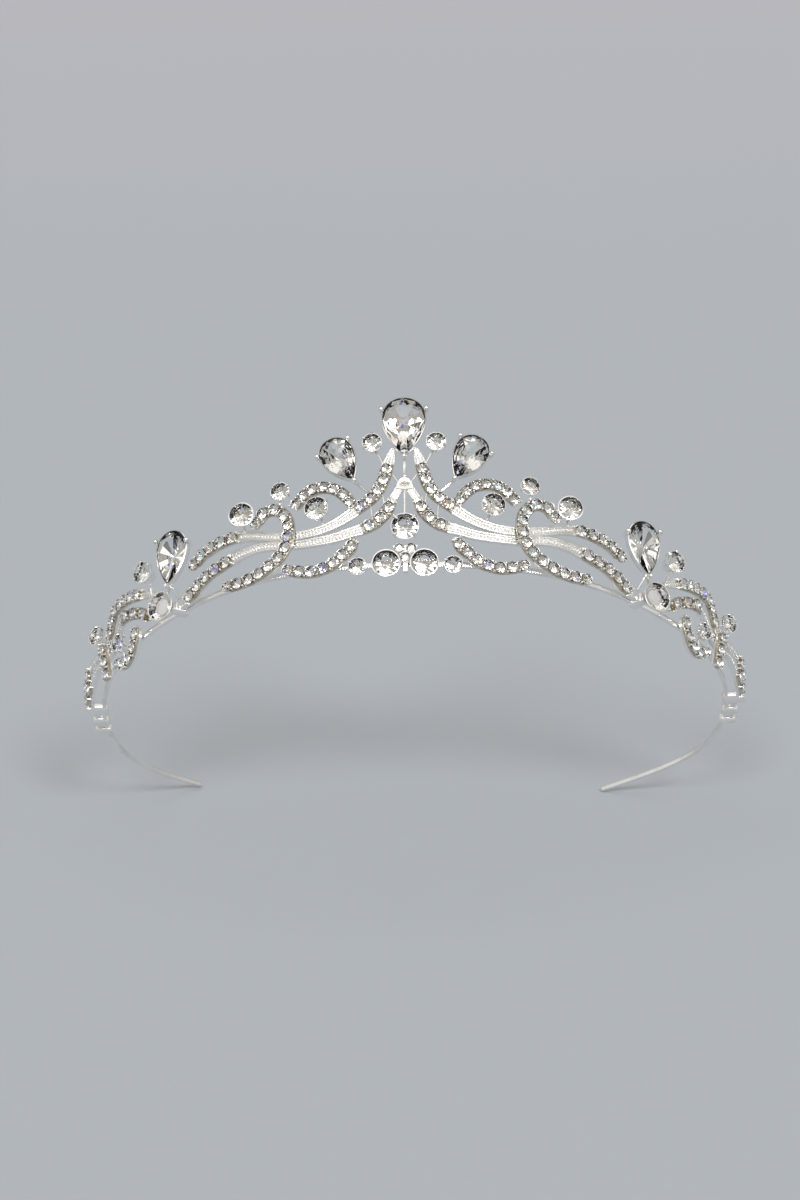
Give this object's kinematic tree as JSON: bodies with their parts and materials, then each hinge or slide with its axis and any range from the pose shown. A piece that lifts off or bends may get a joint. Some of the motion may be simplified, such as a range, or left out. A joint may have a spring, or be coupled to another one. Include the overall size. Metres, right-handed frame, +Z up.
{
  "type": "bridal tiara",
  "caption": "Sprung horseshoe headband carrying mirrored openwork scroll castings set with rows of small crystals, round stones and five pear stones in claw cups, held by folded crimps.",
  "frame": {"origin": "centre of the head's circle in the plane of the headband's lower edge", "axes": "+Z up and -Y to the front as the tiara is worn, with the headband's plane rising 45 degrees to the front; +X to the right as seen from in front"},
  "size_m": [0.1538, 0.0964, 0.1152],
  "materials": {
    "silver": "bright silver plate over cast and drawn metal",
    "crystal": "clear faceted glass with a mirror foil back"
  },
  "bodies": {
    "root": {"arch_left": "silver", "arch_right": "silver", "bezel_bottom_left": "silver", "bezel_bottom_right": "silver", "bezel_junction_left": "silver", "bezel_junction_right": "silver", "bezel_mid_left": "silver", "bezel_mid_right": "silver", "centre_mount": "silver", "crimp_front_left": "silver", "crimp_front_right": "silver", "crimp_junction_left": "silver", "crimp_junction_right": "silver", "crimp_middle_left": "silver", "crimp_middle_right": "silver", "crimp_rear_left": "silver", "crimp_rear_right": "silver", "drop_plate": "silver", "headband": "silver", "lower_arc_left": "silver", "lower_arc_right": "silver", "pear_centre": "crystal", "pear_side_left": "crystal", "pear_side_right": "crystal", "pear_upper_left": "crystal", "pear_upper_right": "crystal", "ribbon_lower_left": "silver", "ribbon_lower_right": "silver", "ribbon_upper_left": "silver", "ribbon_upper_right": "silver", "round_arch_left": "silver", "round_arch_right": "silver", "round_centre": "silver", "round_high_left": "silver", "round_high_right": "silver", "round_loop_left": "silver", "round_loop_right": "silver", "round_low_left": "silver", "round_low_right": "silver", "round_side_left": "silver", "round_side_right": "silver", "round_stem_left": "silver", "round_stem_right": "silver", "round_top_left": "silver", "round_top_right": "silver", "scroll_left": "silver", "scroll_right": "silver", "setting_centre": "silver", "setting_side_left": "silver", "setting_side_right": "silver", "setting_upper_left": "silver", "setting_upper_right": "silver", "side_arc_left": "silver", "side_arc_right": "silver", "side_column_left": "silver", "side_column_right": "silver", "side_loop_left": "silver", "side_loop_right": "silver", "side_ribbon_left": "silver", "side_ribbon_right": "silver"}
  },
  "joints": []
}
